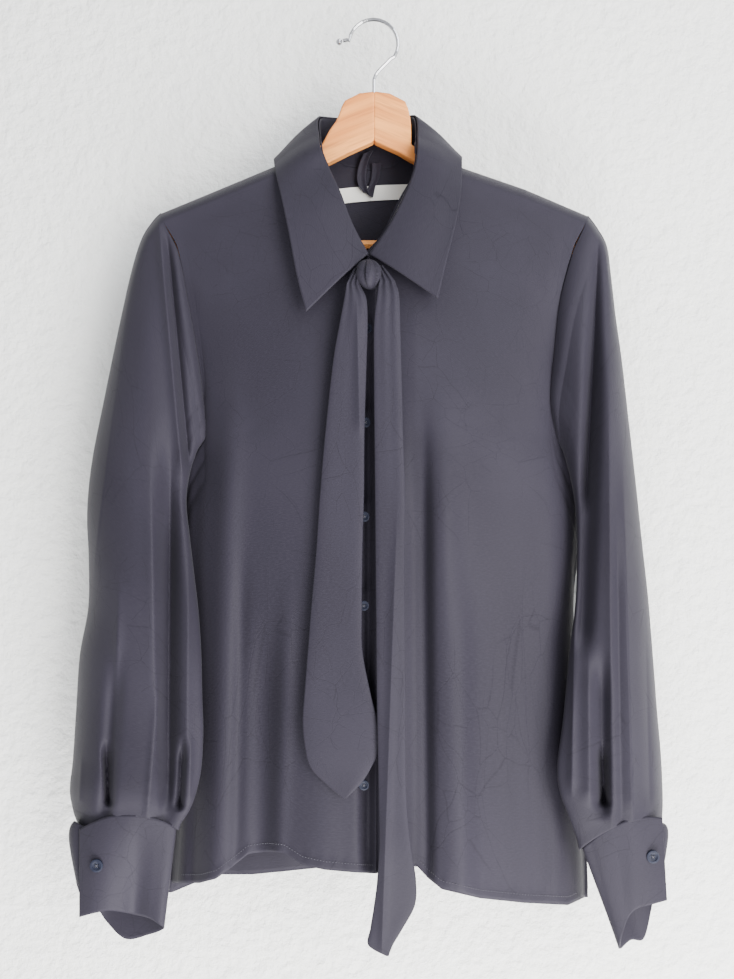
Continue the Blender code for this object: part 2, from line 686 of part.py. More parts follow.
def tube(name, points, width, look):
    curve = bpy.data.curves.new(name, "CURVE")
    curve.dimensions = "3D"
    curve.bevel_depth = width / 2000
    curve.bevel_resolution = 2
    curve.use_fill_caps = True
    line = curve.splines.new("POLY")
    line.points.add(len(points) - 1)
    for target, spot in zip(line.points, points):
        target.co = (*spot, 1)
    return add_object(name, curve, look)


def hook_points():
    """Flared tip, three quarters of a circle, a slanting neck and an upright shank."""
    middle_x, middle_z, radius = -0.5, -23.5, 23.3
    points = [(-29.5, -20.5), (-25.5, -19.5)]
    for step in range(16):
        angle = math.radians(172 - 13.6 * step)
        points.append((middle_x + radius * math.cos(angle), middle_z + radius * math.sin(angle)))
    points += [(16, -37.5), (5.5, -48), (1.5, -53), (0, -57.5), (0, -70)]
    return [in_depth(x, 0, z) for x, z in points]


def build_hanger():
    outline("hanger_arm_right", list(zip(*HANGER_RIGHT.values())), 0, HANGER_THICK, "wood")
    outline("hanger_arm_left", list(zip(*HANGER_LEFT.values())), 0, HANGER_THICK, "wood")
    ends = [in_depth(x, 0, z) for x, z in zip(*BAR.values())]
    tube("hanger_bar", ends, 10, "wood")
    tube("hook", hook_points(), WIRE, "steel")
    mesh = bpy.data.meshes.new("hook_tip")
    ball = bmesh.new()
    bmesh.ops.create_uvsphere(ball, u_segments=12, v_segments=8, radius=0.003)
    ball.to_mesh(mesh)
    ball.free()
    mesh.shade_smooth()
    tip = add_object("hook_tip", mesh, "steel")
    tip.location = in_depth(-33, 0, -21.5)


def build_inside():
    outline("hanging_loop", list(zip(*LOOP.values())), 16.7, 1.2, "cloth")

    def label(u, v):
        x = along(LABEL["x"], u)
        top = along(LABEL["z_top"], u)
        z = top - 15 * 0.95 * v
        return in_depth(x, back_y(x, z) - WALL - 1.0, z)

    sheet("neck_label", label, even(8), even(1), 0.6, "label")


def main():
    for old in list(bpy.data.objects):
        bpy.data.objects.remove(old)
    blouse = bpy.data.collections.new("tie_neck_blouse")
    bpy.context.scene.collection.children.link(blouse)
    build_hanger()
    build_inside()
    build_back()
    build_fronts()
    build_sleeve("sleeve_right", SLEEVE_RIGHT_ROWS, "left", -1, SLEEVE_FOLDS_LEFT)
    build_sleeve("sleeve_left", SLEEVE_LEFT_ROWS, "right", 1, SLEEVE_FOLDS_RIGHT)
    build_cuff("cuff_right", CUFF_RIGHT, False)
    build_cuff("cuff_left", CUFF_LEFT, True)
    build_collar()
    build_tail("tie_tail_right", TAIL_RIGHT, TAIL_RIGHT_FOLDS)
    build_tail("tie_tail_left", TAIL_LEFT, TAIL_LEFT_FOLDS)
    build_knot()
    build_buttons()


main()
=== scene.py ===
"""Dresses the tie-neck blouse on its wooden hanger: fine cloth forms, stitching and finishes.

Tables are in millimetres. Their x and z columns are what an eye at EYE sees on the hanger's
plane (y = 0); in_depth() moves each point along its line of sight to its own depth y.
Right and left are the wearer's. The front faces -Y.
"""

import math

import bpy
import numpy as np
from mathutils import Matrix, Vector


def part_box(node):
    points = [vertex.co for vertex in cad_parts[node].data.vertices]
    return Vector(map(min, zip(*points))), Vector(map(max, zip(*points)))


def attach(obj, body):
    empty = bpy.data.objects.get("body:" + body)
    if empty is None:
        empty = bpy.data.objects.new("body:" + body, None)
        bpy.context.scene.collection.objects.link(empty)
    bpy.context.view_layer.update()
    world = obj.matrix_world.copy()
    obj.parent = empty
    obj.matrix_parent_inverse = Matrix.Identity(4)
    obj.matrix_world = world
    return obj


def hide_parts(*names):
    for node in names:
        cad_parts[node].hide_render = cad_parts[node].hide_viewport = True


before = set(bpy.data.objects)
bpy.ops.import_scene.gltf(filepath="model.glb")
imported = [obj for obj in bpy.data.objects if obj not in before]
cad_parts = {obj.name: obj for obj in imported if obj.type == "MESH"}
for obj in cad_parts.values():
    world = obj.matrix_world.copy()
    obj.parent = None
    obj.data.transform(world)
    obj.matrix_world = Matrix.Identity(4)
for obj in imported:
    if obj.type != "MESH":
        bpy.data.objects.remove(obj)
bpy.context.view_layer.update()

EYE = (-6.6, -900.0, -446.7)
PLANE_HEIGHT = 930.0      # what the camera sees of the hanger's plane, top to bottom
WALL = 1.0
BAND_WALL = 1.5
SEAM_GAP = 0.6
RIDGE_GAP = 0.8
SHOULDER_ROUND = 9.0
HEM_DEPTH = 8.0
THREAD = 0.35
FRONT_BUTTON = 9.0
CUFF_BUTTON = 11.5
BUTTON_THICK = 2.2
BACKDROP_Y = 0.062
MITRE_X = 0.00025         # where the hanger's two arms meet


def table(columns, rows):
    """The rows' columns by name."""
    return dict(zip(columns.split(), zip(*rows)))


# The body's section at each height: side edges, depth at the middle and at the sides of
# front and back, and how square the section is (1 is a plain arch, 0.45 a full round).
BODY = table("z left right front front_side back back_side square", [
    (-89, -203.5, 205, -17, -14, 18, 13, 1.0),
    (-184, -203.5, 205, -22, -15, 21, 13, 1.0),
    (-220, -187, 190, -28, -17, 24, 13, 0.95),
    (-266.5, -177.5, 177.5, -34, -17, 27, 13, 0.85),
    (-314, -169, 172, -38, -14, 29, 12, 0.75),
    (-361.5, -162.5, 168, -40, -9, 30, 8, 0.6),
    (-397, -160.5, 174, -41, -1, 30, 0, 0.5),
    (-409, -167, 179.5, -41, 3, 30, 4, 0.48),
    (-424.5, -175, 186, -42, 6, 30, 7, 0.46),
    (-456.5, -180.5, 193, -42, 9, 30, 10, 0.45),
    (-506, -181.5, 194, -42, 11, 30, 12, 0.45),
    (-544, -180.5, 190, -42, 12, 30, 13, 0.45),
    (-589.5, -179.5, 190, -42, 13, 30, 14, 0.45),
    (-646.5, -179.5, 193, -43, 13, 31, 14, 0.45),
    (-741.5, -184.5, 196.5, -44, 13, 32, 14, 0.45),
    (-841.5, -192, 200.5, -45, 12, 33, 13, 0.45),
])

# Height of the shoulder ridge, from the left sleeve head to the right one.
RIDGE = table("x z", [
    (-205, -185), (-148, -161.5), (-94, -139), (-70.5, -126.5), (-52, -114.5),
    (-36, -101.5), (0, -89), (26.5, -101.5),
    (41, -116), (59, -128.5), (82.5, -140), (143.5, -161), (207, -188),
])

# Soft folds: a row is a ridge (rise above 0) or a trough, from its upper to its lower end.
BODY_FOLDS = table("x_top z_top x_low z_low half_width rise", [
    (-135, -295, -154, -841.5, 14, 9),
    (-106.5, -551.5, -106.5, -841.5, 18, -10),
    (-42, -475.5, -53, -841.5, 22, 3),
    (40, -342.5, 41, -841.5, 10, -8),
    (62.5, -323.5, 78, -841.5, 16, 7),
    (119.5, -475.5, 127.5, -841.5, 22, -5),
    (173, -380.5, 182.5, -841.5, 14, 6),
])
SLEEVE_FOLDS_LEFT = table("x_top z_top x_low z_low half_width rise", [
    (-195.5, -361.5, -197.5, -753, 10, -13),
    (-243, -589.5, -254.5, -756, 7, -8),
])
SLEEVE_FOLDS_RIGHT = table("x_top z_top x_low z_low half_width rise", [
    (214.5, -209.5, 198.5, -589.5, 8, -10),
    (216.5, -589.5, 217.5, -753, 8, -10),
])

# Front panel with the buttonholes: front edge and side edge of each cross row.
FRONT_RIGHT = table("inner_x inner_z outer_z", [
    (-52.5, -115.5, -185), (-52, -116.5, -186), (-51.5, -119, -188.5), (-50.5, -125, -194.5),
    (-47.5, -136.5, -206), (-42, -155.5, -225), (-30.5, -185, -251.5), (-17, -215.5, -278),
    (2, -239, -308.5), (2, -271.5, -342.5), (2, -314, -373), (2, -357, -397),
    (2, -385.5, -409), (2, -414, -424.5), (2, -453, -456.5), (2, -512, -513.5),
    (2, -589.5, -589.5), (2, -672.5, -675), (2, -751, -760.5), (2, -811.5, -821.5),
])
# Front panel with the buttons, which runs on under the other.
FRONT_LEFT = table("inner_x inner_z outer_z", [
    (41, -117, -188), (41, -118, -189), (41, -120.5, -191), (40.5, -126.5, -197.5),
    (40, -136.5, -208.5), (35, -155.5, -227), (21, -185, -251.5), (5, -215.5, -278),
    (-19, -239, -308.5), (-19, -271.5, -342.5), (-19, -314, -373), (-19, -357, -397),
    (-19, -385.5, -409), (-19, -414, -424.5), (-19, -453, -456.5), (-19, -512, -513.5),
    (-19, -589.5, -589.5), (-19, -672.5, -675), (-19, -751, -760.5), (-19, -806.5, -834),
])
# Lower edge of both fronts, and of the back.
HEM_FRONT = table("x z", [
    (-192, -820.5), (-165.5, -820.5), (-150, -816.5), (-135, -805.5), (-119.5, -793), (-101.5, -790.5),
    (-85.5, -792), (-67.5, -803.5), (-46.5, -808), (-19, -810.5), (2, -811.5), (24.5, -804.5),
    (39, -802.5), (51.5, -816), (64.5, -826.5), (100.5, -835), (143.5, -839.5), (184.5, -841.5),
    (200.5, -834),
])
HEM_BACK = table("x z", [
    (-192, -829), (-151, -812), (-116, -812), (-84.5, -809), (-42, -804.5), (72, -804.5),
    (138.5, -812), (200.5, -825.5),
])

# The collar section by section, from the left point round the back to the right point:
# neck seam, roll line and outer edge. The neck seam lies on the body's surface.
COLLAR = table("neck_x neck_z roll_x roll_z roll_y edge_x edge_z edge_y", [
    (-1, -233.5, -5.5, -223, -40, -64.5, -278, -46),
    (-16, -211.5, -20, -195.5, -38, -73, -245, -44),
    (-29.5, -183, -32.5, -164, -33, -81, -203, -40),
    (-41, -153.5, -43.5, -140.5, -25, -87.5, -171.5, -33),
    (-47.5, -133.5, -50.5, -122.5, -22, -92.5, -149, -23),
    (-50.5, -119.5, -52, -110, -8, -94, -138.5, -10),
    (-51.5, -114, -53, -102.5, 1, -94, -133.5, 1),
    (-50.5, -119.5, -52.5, -95, 10, -90, -132.5, 12),
    (-44.5, -129, -48.5, -93, 19, -78, -136.5, 24),
    (-27.5, -139.5, -30.5, -94, 25, -46.5, -144, 34),
    (-2, -144, -3, -94.5, 27, -3, -149, 38),
    (18, -140.5, 19, -94, 25, 36, -144, 34),
    (33, -130, 34, -92, 19, 67.5, -136.5, 24),
    (39.5, -119.5, 39.5, -93.5, 10, 79, -131, 12),
    (40.5, -114, 41, -102.5, 1, 82.5, -131.5, 1),
    (39.5, -119.5, 41, -112, -9, 83, -135.5, -11),
    (39, -133.5, 41, -124, -22, 83, -151, -23),
    (34, -153.5, 38.5, -143, -25, 81.5, -173.5, -33),
    (20, -183, 28.5, -169, -33, 76, -202, -40),
    (5, -211.5, 13.5, -197.5, -38, 68.5, -232.5, -44),
    (-11.5, -233.5, -4.5, -223.5, -40, 61, -265.5, -46),
])

# Sleeve rings from the armhole to the cuff seam: outer and inner end of each ring, depth
# of its front and back, how far its middle arches up, and how much of the armhole's own
# shape it keeps.
SLEEVE_COLUMNS = "out_x out_z out_y in_x in_z in_y front back arch keep"
SLEEVE_RIGHT_ROWS = table(SLEEVE_COLUMNS, [
    (-204, -184, 0, -160, -398, 0, -16, 12, 0, 1.0),
    (-211, -191.5, -1, -162.5, -401.5, -2, -22, 16, 0, 0.8),
    (-221.5, -208.5, -2, -166, -406.5, -4, -28, 19, 0, 0.6),
    (-231, -240, -2, -172, -415, -7, -33, 21, 0, 0.35),
    (-243, -295, -1, -177.5, -433, -11, -38, 22, 0, 0.15),
    (-256.5, -361.5, 0, -180.5, -458.5, -16, -42, 23, 0, 0.0),
    (-268, -420.5, 1, -177.5, -490, -20, -45, 22, 0, 0.0),
    (-272.5, -468, 1, -173, -528, -24, -47, 20, 0, 0.0),
    (-271, -513.5, 1, -169, -563, -28, -48, 17, 0, 0.0),
    (-271.5, -558.5, 1, -166.5, -601, -31, -49, 14, 0, 0.0),
    (-279.5, -604, 0, -165.5, -642, -34, -50, 11, 0, 0.0),
    (-283, -656, -1, -164.5, -677, -37, -52, 8, 0, 0.0),
    (-286, -702, -3, -166.5, -712, -39, -54, 5, 0, 0.0),
    (-289, -731, -6, -172, -737, -40, -55, 1, 4, 0.0),
    (-286, -751, -10, -178.5, -753, -40, -54, -4, 9, 0.0),
    (-280.5, -767.5, -14, -188, -766.5, -38, -50, -9, 13, 0.0),
])
SLEEVE_LEFT_ROWS = table(SLEEVE_COLUMNS, [
    (205.5, -186.5, 0, 174.5, -398, 0, -16, 12, 0, 1.0),
    (214, -198.5, -1, 176.5, -402.5, -2, -22, 16, 0, 0.8),
    (222.5, -215.5, -2, 179.5, -409, -4, -28, 19, 0, 0.6),
    (226, -244, -2, 184.5, -418.5, -7, -33, 21, 0, 0.35),
    (230, -282, -1, 189, -436, -11, -38, 22, 0, 0.15),
    (235.5, -323.5, 0, 193, -458.5, -16, -42, 23, 0, 0.0),
    (242, -380.5, 1, 195, -490, -20, -45, 22, 0, 0.0),
    (248.5, -437.5, 1, 195, -526, -24, -47, 20, 0, 0.0),
    (254.5, -494.5, 1, 193.5, -559.5, -28, -48, 17, 0, 0.0),
    (260.5, -549, 1, 189, -592.5, -31, -49, 14, 0, 0.0),
    (265, -604, 0, 185.5, -629.5, -34, -50, 11, 0, 0.0),
    (269, -656, -1, 181.5, -669.5, -37, -52, 8, 0, 0.0),
    (272.5, -696, -3, 176.5, -707.5, -39, -54, 5, 0, 0.0),
    (274, -724.5, -6, 178.5, -732, -40, -55, 1, 2, 0.0),
    (274.5, -743.5, -10, 186, -754, -40, -54, -4, 4, 0.0),
    (274, -756, -14, 197.5, -785.5, -38, -50, -9, 9, 0.0),
])

# Cuffs, from the buttonhole end round the arm to the button end: top and lower edge.
CUFF_COLUMNS = "top_x top_z top_y low_x low_z low_y"
CUFF_RIGHT = table(CUFF_COLUMNS, [
    (-280, -769.5, -40, -280, -853, -44),
    (-268, -763, -45, -267, -849.5, -48),
    (-252.5, -757.5, -49, -253.5, -847, -47),
    (-235.5, -755, -50.5, -240.5, -848, -41),
    (-219.5, -756.5, -49.5, -228, -850.5, -33),
    (-203.5, -760.5, -46.5, -214, -854, -37),
    (-192, -765.5, -42.6, -203.5, -860.5, -38),
    (-187.5, -768, -37, -199.5, -864, -32),
    (-195.5, -764, -21.4, -213, -869, -25),
    (-220.5, -756.5, -9.8, -235.5, -873, -20),
    (-251, -757, -9.8, -254.5, -855.5, -16),
    (-271.5, -764.5, -12, -266, -840.5, -20),
    (-285, -769.5, -12, -277.5, -834, -24),
    (-295.5, -754, -24, -283, -819.5, -31),
    (-290, -759.5, -35, -277.5, -827, -38),
    (-271.5, -769, -39.5, -262, -841.5, -42),
])
CUFF_LEFT = table(CUFF_COLUMNS, [
    (274, -758.5, -40, 278.5, -837, -44),
    (260.5, -757.5, -44, 264, -841, -48),
    (245, -760, -49.5, 250, -845, -48),
    (232, -764.5, -50.5, 242, -853, -46),
    (218.5, -771.5, -48.5, 236.5, -868, -44),
    (207, -779.5, -45, 233, -880.5, -40),
    (197.5, -787, -38, 233.5, -882.5, -34),
    (207, -779.5, -17.9, 243, -874.5, -26),
    (226, -767.5, -9.7, 255.5, -873, -20),
    (251, -759, -10, 263, -848, -18),
    (270, -758.5, -12, 267, -829, -22),
    (283, -752, -24, 276.5, -798.5, -32),
    (277.5, -758, -35, 271.5, -817.5, -39),
    (262, -763.5, -39, 260.5, -827, -42),
])

# Tie tails: both edges and depth down each one.
TAIL_COLUMNS = "z left right y"
TAIL_RIGHT = table(TAIL_COLUMNS, [
    (-246.5, -25.5, -16, -50.5), (-254.5, -26.5, -12, -51.5), (-266.5, -28.5, -7, -53),
    (-290.5, -33, -6, -53), (-325.5, -39, -7, -52.5),
    (-394, -46.5, -9, -52), (-452, -51.5, -9.5, -52), (-504, -55, -11, -52),
    (-561, -60, -11.5, -52.5), (-599, -63, -11, -53), (-637, -66, -4, -53),
    (-667.5, -68, 3, -53.5), (-694, -65.5, 4, -54), (-711.5, -60, -3, -54),
    (-726.5, -45.5, -12.5, -54), (-740.5, -29.5, -26.5, -54),
])
TAIL_LEFT = table(TAIL_COLUMNS, [
    (-244, 7.5, 18.5, -51), (-251.5, 4.5, 21, -53), (-263, 3, 24, -56),
    (-291.5, 0, 25, -57), (-345.5, 0, 26.5, -56.5),
    (-403.5, 0.5, 28, -56.5), (-452, 1, 29.5, -56.5), (-513.5, 1.5, 29.5, -57),
    (-570.5, 2, 29.5, -57), (-627.5, 2.5, 30, -57.5), (-684.5, 3.5, 30, -58),
    (-741.5, 4.5, 31, -58), (-784.5, 5, 35, -58), (-817.5, 3, 40, -58),
    (-841.5, 0, 39, -58), (-863.5, -3.5, 27.5, -58), (-879.5, -5.5, 18, -58),
    (-890, 11.5, 14, -58),
])
# The knot between the collar's points, a full roll from its upper to its lower end.
KNOT = table("x z y half_width half_height half_depth", [
    (-5, -242.5, -44.6, 11.8, 13.9, 12.8),
])

# Buttons down the front, on the front that lies below, and one on each cuff.
FRONT_BUTTONS = table("x z", [
    (-6.5, -293.5), (-8, -383), (-9, -472.5),
    (-9.5, -557), (-9.5, -642), (-9.5, -727.5),
])
CUFF_BUTTONS = table("x z", [(-263.5, -804), (265, -795.5)])

TAIL_RIGHT_FOLDS = table("x_top z_top x_low z_low half_width rise", [
    (-17, -243, -13.5, -390, 5, 2.5),
])
TAIL_LEFT_FOLDS = table("x_top z_top x_low z_low half_width rise", [
    (23, -437.5, 7.5, -884, 5, 3),
])
# Pressed edges and pleats of each sleeve's front, sharper than the body's folds.
SLEEVE_PLEATS_RIGHT = table("x_top z_top x_low z_low half_width rise", [
    (-208, -152.5, -182.5, -428, 5, 6),
    (-200.5, -162, -176, -418.5, 4.5, -10),
    (-193, -390, -195, -732, 7, -10),
    (-227, -209.5, -267, -528, 7, 3.5),
    (-234.5, -266.5, -264, -513.5, 6, -2),
    (-213, -390, -205, -741.5, 7, 4),
    (-175, -428, -178.5, -741.5, 8, 4),
    (-200.5, -589.5, -215.5, -756, 4, 3),
    (-241.5, -513.5, -248, -756, 6, 4),
    (-181.5, -679, -185, -749.5, 4, -14),
    (-174, -675, -175, -741.5, 4, 3),
    (-254.5, -683, -252.5, -745.5, 3.5, -15),
    (-262, -683, -254.5, -753, 3.5, 2.5),
    (-277.5, -696, -280, -743.5, 3, 2),
])
SLEEVE_PLEATS_LEFT = table("x_top z_top x_low z_low half_width rise", [
    (223, -257, 226, -762.5, 6, 4),
    (214.5, -176.5, 201.5, -456.5, 5, -10),
    (235.5, -390, 246, -760.5, 6, 4),
    (230, -456.5, 235.5, -760.5, 5, -3),
    (216.5, -683, 218.5, -745.5, 4, -15),
    (203.5, -589.5, 205, -741.5, 10, 5),
    (191, -513.5, 188, -732, 6, 4),
    (257.5, -551.5, 262, -741.5, 7, -3),
])
# Middle line, width and slant of the hanging loop's ribbon, from its left end to its right.
LOOP_PATH = table("x z y width tilt", [
    (-5.5, -126, 15.5, 9, 3), (-10, -136.5, 14.5, 8.5, 3), (-12, -149, 14, 8.5, 0),
    (-10.5, -159.5, 14.5, 9, -4), (-6.5, -166, 15.5, 10, -7), (-3, -161, 17, 9, 5),
    (1.5, -150, 17.5, 8.5, 2), (2.5, -136.5, 17.5, 9, 0),
])
# Finer folds of the fronts: the sunken placket between the tails, then soft drags.
FRONT_CREASES = table("x_top z_top x_low z_low half_width rise", [
    (-5, -230.5, -5.5, -817.5, 6.5, -13),
    (-169, -314, -173, -836.5, 6, -6),
    (-124.5, -475.5, -131, -817.5, 7, -4),
    (-80, -513.5, -93, -817.5, 9, 4),
    (48.5, -352, 51.5, -817.5, 5, -6),
    (83.5, -494.5, 87.5, -841.5, 10, 2.5),
    (148, -551.5, 156, -841.5, 12, -3),
    (195, -589.5, 195.5, -836.5, 5, 5),
])
BACK_FOLDS = table("x_top z_top x_low z_low half_width rise", [
    (-127.5, -295, -140.5, -841.5, 18, 6),
    (-70.5, -380.5, -80, -841.5, 24, -5),
    (-2, -228.5, 0, -841.5, 16, 6),
    (62.5, -342.5, 74, -841.5, 22, -5),
    (124.5, -304.5, 138.5, -841.5, 18, 6),
])


def blend(a, b, share):
    return a + (b - a) * share


def ease(share):
    """0 to 1 with a soft start and a soft end."""
    share = np.clip(share, 0.0, 1.0)
    return share * share * (3 - 2 * share)


def along(values, share):
    """The values a share (0 to 1) of the way down a column, on a smooth curve."""
    values = np.asarray(values, dtype=float)
    last = len(values) - 1
    place = np.clip(share, 0.0, 1.0) * last
    i = np.minimum(place.astype(int), last - 1)
    f = place - i
    before = values[np.maximum(i - 1, 0)]
    after = values[np.minimum(i + 2, last)]
    slope_in = (values[i + 1] - before) / 2
    slope_out = (after - values[i]) / 2
    step = values[i + 1] - values[i]
    return (values[i] + step * f * f * (3 - 2 * f)
            + f * (1 - f) * ((1 - f) * slope_in - f * slope_out))


def share_at(column, value):
    """How far down a steadily rising or falling column a value lies, from 0 to 1."""
    column = np.asarray(column, dtype=float)
    places = np.linspace(0, 1, len(column))
    if column[-1] < column[0]:
        return np.interp(-value, -column, places)
    return np.interp(value, column, places)


def read(source, key, column, value):
    """Column `key` of a table, where its column `column` has the value."""
    return along(source[key], share_at(source[column], value))


def straight(source, key, column, value):
    """The same on straight lines between the rows."""
    places = np.linspace(0, 1, len(source[key]))
    return np.interp(share_at(source[column], value), places, source[key])


def in_depth(x, y, z):
    """Points seen at (x, z) on the hanger's plane, moved to depth y, in metres."""
    reach = (y - EYE[1]) / -EYE[1]
    return np.stack([blend(EYE[0], x, reach), y + 0 * x, blend(EYE[2], z, reach)], -1) / 1000


def relief(folds, x, z, crease=0.0):
    """How far the folds lift the cloth towards the viewer; crease 1 gives pressed edges."""
    total = np.zeros_like(x)
    for x_top, z_top, x_low, z_low, half_width, rise in zip(*folds.values()):
        share = (z_top - z) / (z_top - z_low)
        away = np.abs(x - blend(x_top, x_low, share)) / half_width
        shape = blend(np.exp(-away ** 2), np.exp(-away * 1.4), crease)
        fade = ease(share / 0.35) * ease((1.06 - share) / 0.12)
        total += rise * shape * fade
    return total


def ripple(x, z, length, seed):
    """Soft uneven waves of about 1, with the given length in millimetres."""
    dice = np.random.default_rng(seed)
    total = np.zeros_like(x)
    for _ in range(7):
        turn = dice.uniform(0, 2 * math.pi)
        pitch = 2 * math.pi / (length * dice.uniform(0.7, 1.7))
        shift = dice.uniform(0, 2 * math.pi)
        total += np.sin(pitch * (x * math.cos(turn) + z * math.sin(turn) * 0.45) + shift)
    return total / 3.5


def shoulder_turn(x, z):
    """0 on the shoulder ridge, growing to 1 where the cloth hangs clear of it."""
    drop = (straight(RIDGE, "z", "x", x) - RIDGE_GAP - z) / SHOULDER_ROUND
    return np.sqrt(1 - (1 - np.clip(drop, 0.0, 1.0)) ** 2)


def body_depth(x, z, middle, side):
    """Depth of the body's front or back at (x, z), before its folds."""
    left = read(BODY, "left", "z", z)
    right = read(BODY, "right", "z", z)
    across = np.minimum(np.abs(2 * (x - left) / (right - left) - 1), 1.0)
    arch = (1 - across ** 2.2) ** read(BODY, "square", "z", z)
    edge = read(BODY, side, "z", z)
    return blend(edge, read(BODY, middle, "z", z), arch), across


def front_y(x, z):
    """Depth of the body's front, its section evened out over 80 mm of height."""
    levels = [body_depth(x, z + step, "front", "front_side") for step in (-40, -20, 0, 20, 40)]
    depth = sum(level[0] for level in levels) / len(levels)
    across = levels[2][1]
    folds = relief(BODY_FOLDS, x, z) + relief(FRONT_CREASES, x, z) + 0.35 * ripple(x, z, 90, 4)
    return depth * shoulder_turn(x, z) - folds * (1 - across ** 6) - SEAM_GAP / 2


def back_y(x, z):
    depth, across = body_depth(x, z, "back", "back_side")
    folds = relief(BACK_FOLDS, x, z) * (1 - across ** 6)
    return depth * shoulder_turn(x, z) + folds * 0.7 + SEAM_GAP / 2


def net(across, down):
    """Grids of u (0 to 1 to the right) and v (0 to 1 downwards)."""
    return np.meshgrid(np.linspace(0, 1, across), np.linspace(0, 1, down))


def crowd(u, power=1.7):
    """Moves shares closer together towards 1."""
    return 1 - (1 - u) ** power


def mesh_object(name, mesh):
    made = bpy.data.objects.new(name, mesh)
    bpy.context.scene.collection.objects.link(made)
    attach(made, "root")
    return made


def grid_mesh(name, points, size, ring=False):
    """A mesh through a grid of points, with UVs of the cloth's own size in metres."""
    rows, columns = points.shape[:2]
    kept = columns - 1 if ring else columns
    corners = points[:, :kept].reshape(-1, 3)
    quads = []
    charts = []
    for r in range(rows - 1):
        for c in range(columns - 1):
            right = (c + 1) % kept
            quads.append((r * kept + c, (r + 1) * kept + c,
                          (r + 1) * kept + right, r * kept + right))
            left_u, right_u = c / (columns - 1), (c + 1) / (columns - 1)
            top_v, low_v = -r / (rows - 1), -(r + 1) / (rows - 1)
            charts += [left_u * size[0], top_v * size[1], left_u * size[0], low_v * size[1],
                       right_u * size[0], low_v * size[1], right_u * size[0], top_v * size[1]]
    mesh = bpy.data.meshes.new(name)
    mesh.from_pydata(corners.tolist(), [], quads)
    mesh.uv_layers.new(name="cloth").data.foreach_set("uv", charts)
    mesh.shade_smooth()
    return mesh


def cloth(name, points, size, node, look, wall=WALL, ring=False):
    """A sheet of garment cloth that stands for a CAD node; size is its cut, in metres."""
    made = mesh_object(name, grid_mesh(name, points, size, ring))
    shell = made.modifiers.new("Wall", "SOLIDIFY")
    shell.thickness = wall / 1000
    shell.offset = -1.0
    made.data.materials.append(look)
    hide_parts(node)
    return made


def panel_points(rows, side, depth, hem, across, down):
    """A front panel from its front edge to its side edge, as a grid seen from the front."""
    u, v = net(across, down)
    if side == "left":
        u = 1 - u
    u = crowd(u)
    last = len(rows["inner_x"]) - 1
    outer_z = along(rows["outer_z"], v)
    flare = ease((-713 - outer_z) / 60) * (-5 if side == "left" else 3)
    x = blend(along(rows["inner_x"], v), read(BODY, side, "z", outer_z) + flare, u)
    z = blend(along(rows["inner_z"], v), outer_z, u)
    ridge_line = blend(rows["inner_z"][0], rows["outer_z"][0], u)
    hem_line = blend(rows["inner_z"][-1], rows["outer_z"][-1], u)
    z += (straight(RIDGE, "z", "x", x) - RIDGE_GAP - ridge_line) * np.clip((9 - last * v) / 6, 0, 1)
    z += (straight(hem, "z", "x", x) - hem_line) * v ** 6
    y = depth(x, z)
    above_hem = z - straight(hem, "z", "x", x)
    y -= 0.5 * ease((HEM_DEPTH - above_hem) / 1.2 + 0.5)
    y -= 0.3 * np.sin(x / 2.1 + ripple(x, z, 30, 9)) * np.exp(-np.abs(above_hem - HEM_DEPTH) / 5)
    return in_depth(x, y, z)


def build_fronts(look):
    right = panel_points(FRONT_RIGHT, "left", front_y, HEM_FRONT, 130, 220)
    cloth("front_right_cloth", right, (0.245, 0.73), "front_right", look)

    def lower_front(x, z):
        return front_y(x, z) + (BAND_WALL + SEAM_GAP) * np.clip((39 - x) / 20, 0, 1)

    left = panel_points(FRONT_LEFT, "right", lower_front, HEM_FRONT, 130, 220)
    cloth("front_left_cloth", left, (0.26, 0.74), "front_left", look)


BACK_COLUMNS = [-203.5, -200.5, -192, -175, -148, -119.5, -94, -70.5, -57, -52, -50, -43.5,
                -27.5, -2, 17, 32.5, 38.5, 41, 44.5, 59, 82.5, 110, 143.5, 176.5,
                194, 202.5, 205]
BACK_ROWS = table("drop outer_z", [
    (0, -185), (1, -186), (3.5, -188.5), (10, -194.5), (24, -209.5), (50, -233.5), (82, -266.5),
    (118, -308.5), (118, -342.5), (118, -373), (118, -397), (118, -409), (118, -424.5), (118, -456.5),
    (118, -513.5), (118, -589.5), (118, -675), (118, -760.5), (118, -829),
])


def back_top(x):
    """Height of the back's upper edge: shoulder ridge, then the neck seam."""
    neck = np.interp(x, COLLAR["neck_x"][6:15], COLLAR["neck_z"][6:15]) - 0.6
    inside = (x > COLLAR["neck_x"][6]) & (x < COLLAR["neck_x"][14])
    return np.where(inside, neck, straight(RIDGE, "z", "x", x) - RIDGE_GAP)


def build_back(look):
    u, v = net(209, 145)
    columns = np.array(BACK_COLUMNS)
    top_x = np.interp(1 - u, np.linspace(0, 1, len(columns)), columns)
    share = (top_x - columns[0]) / (columns[-1] - columns[0])
    index = v * (len(BACK_ROWS["drop"]) - 1)
    outer_z = along(BACK_ROWS["outer_z"], v)
    drop = np.interp(index, range(len(BACK_ROWS["drop"])), BACK_ROWS["drop"])
    flare = ease((-713 - outer_z) / 60)
    x = blend(read(BODY, "left", "z", outer_z) - 5 * flare,
              read(BODY, "right", "z", outer_z) + 3 * flare, share)
    z = blend(back_top(top_x) - drop, outer_z, np.minimum(index / 8, 1.0) ** 2)
    z += (straight(HEM_BACK, "z", "x", x) - BACK_ROWS["outer_z"][-1]) * v ** 6
    y = back_y(x, z)
    above_hem = z - straight(HEM_BACK, "z", "x", x)
    y += 0.5 * ease((HEM_DEPTH - above_hem) / 1.2 + 0.5)
    cloth("back_cloth", in_depth(x, y, z), (0.5, 0.74), "back", look)


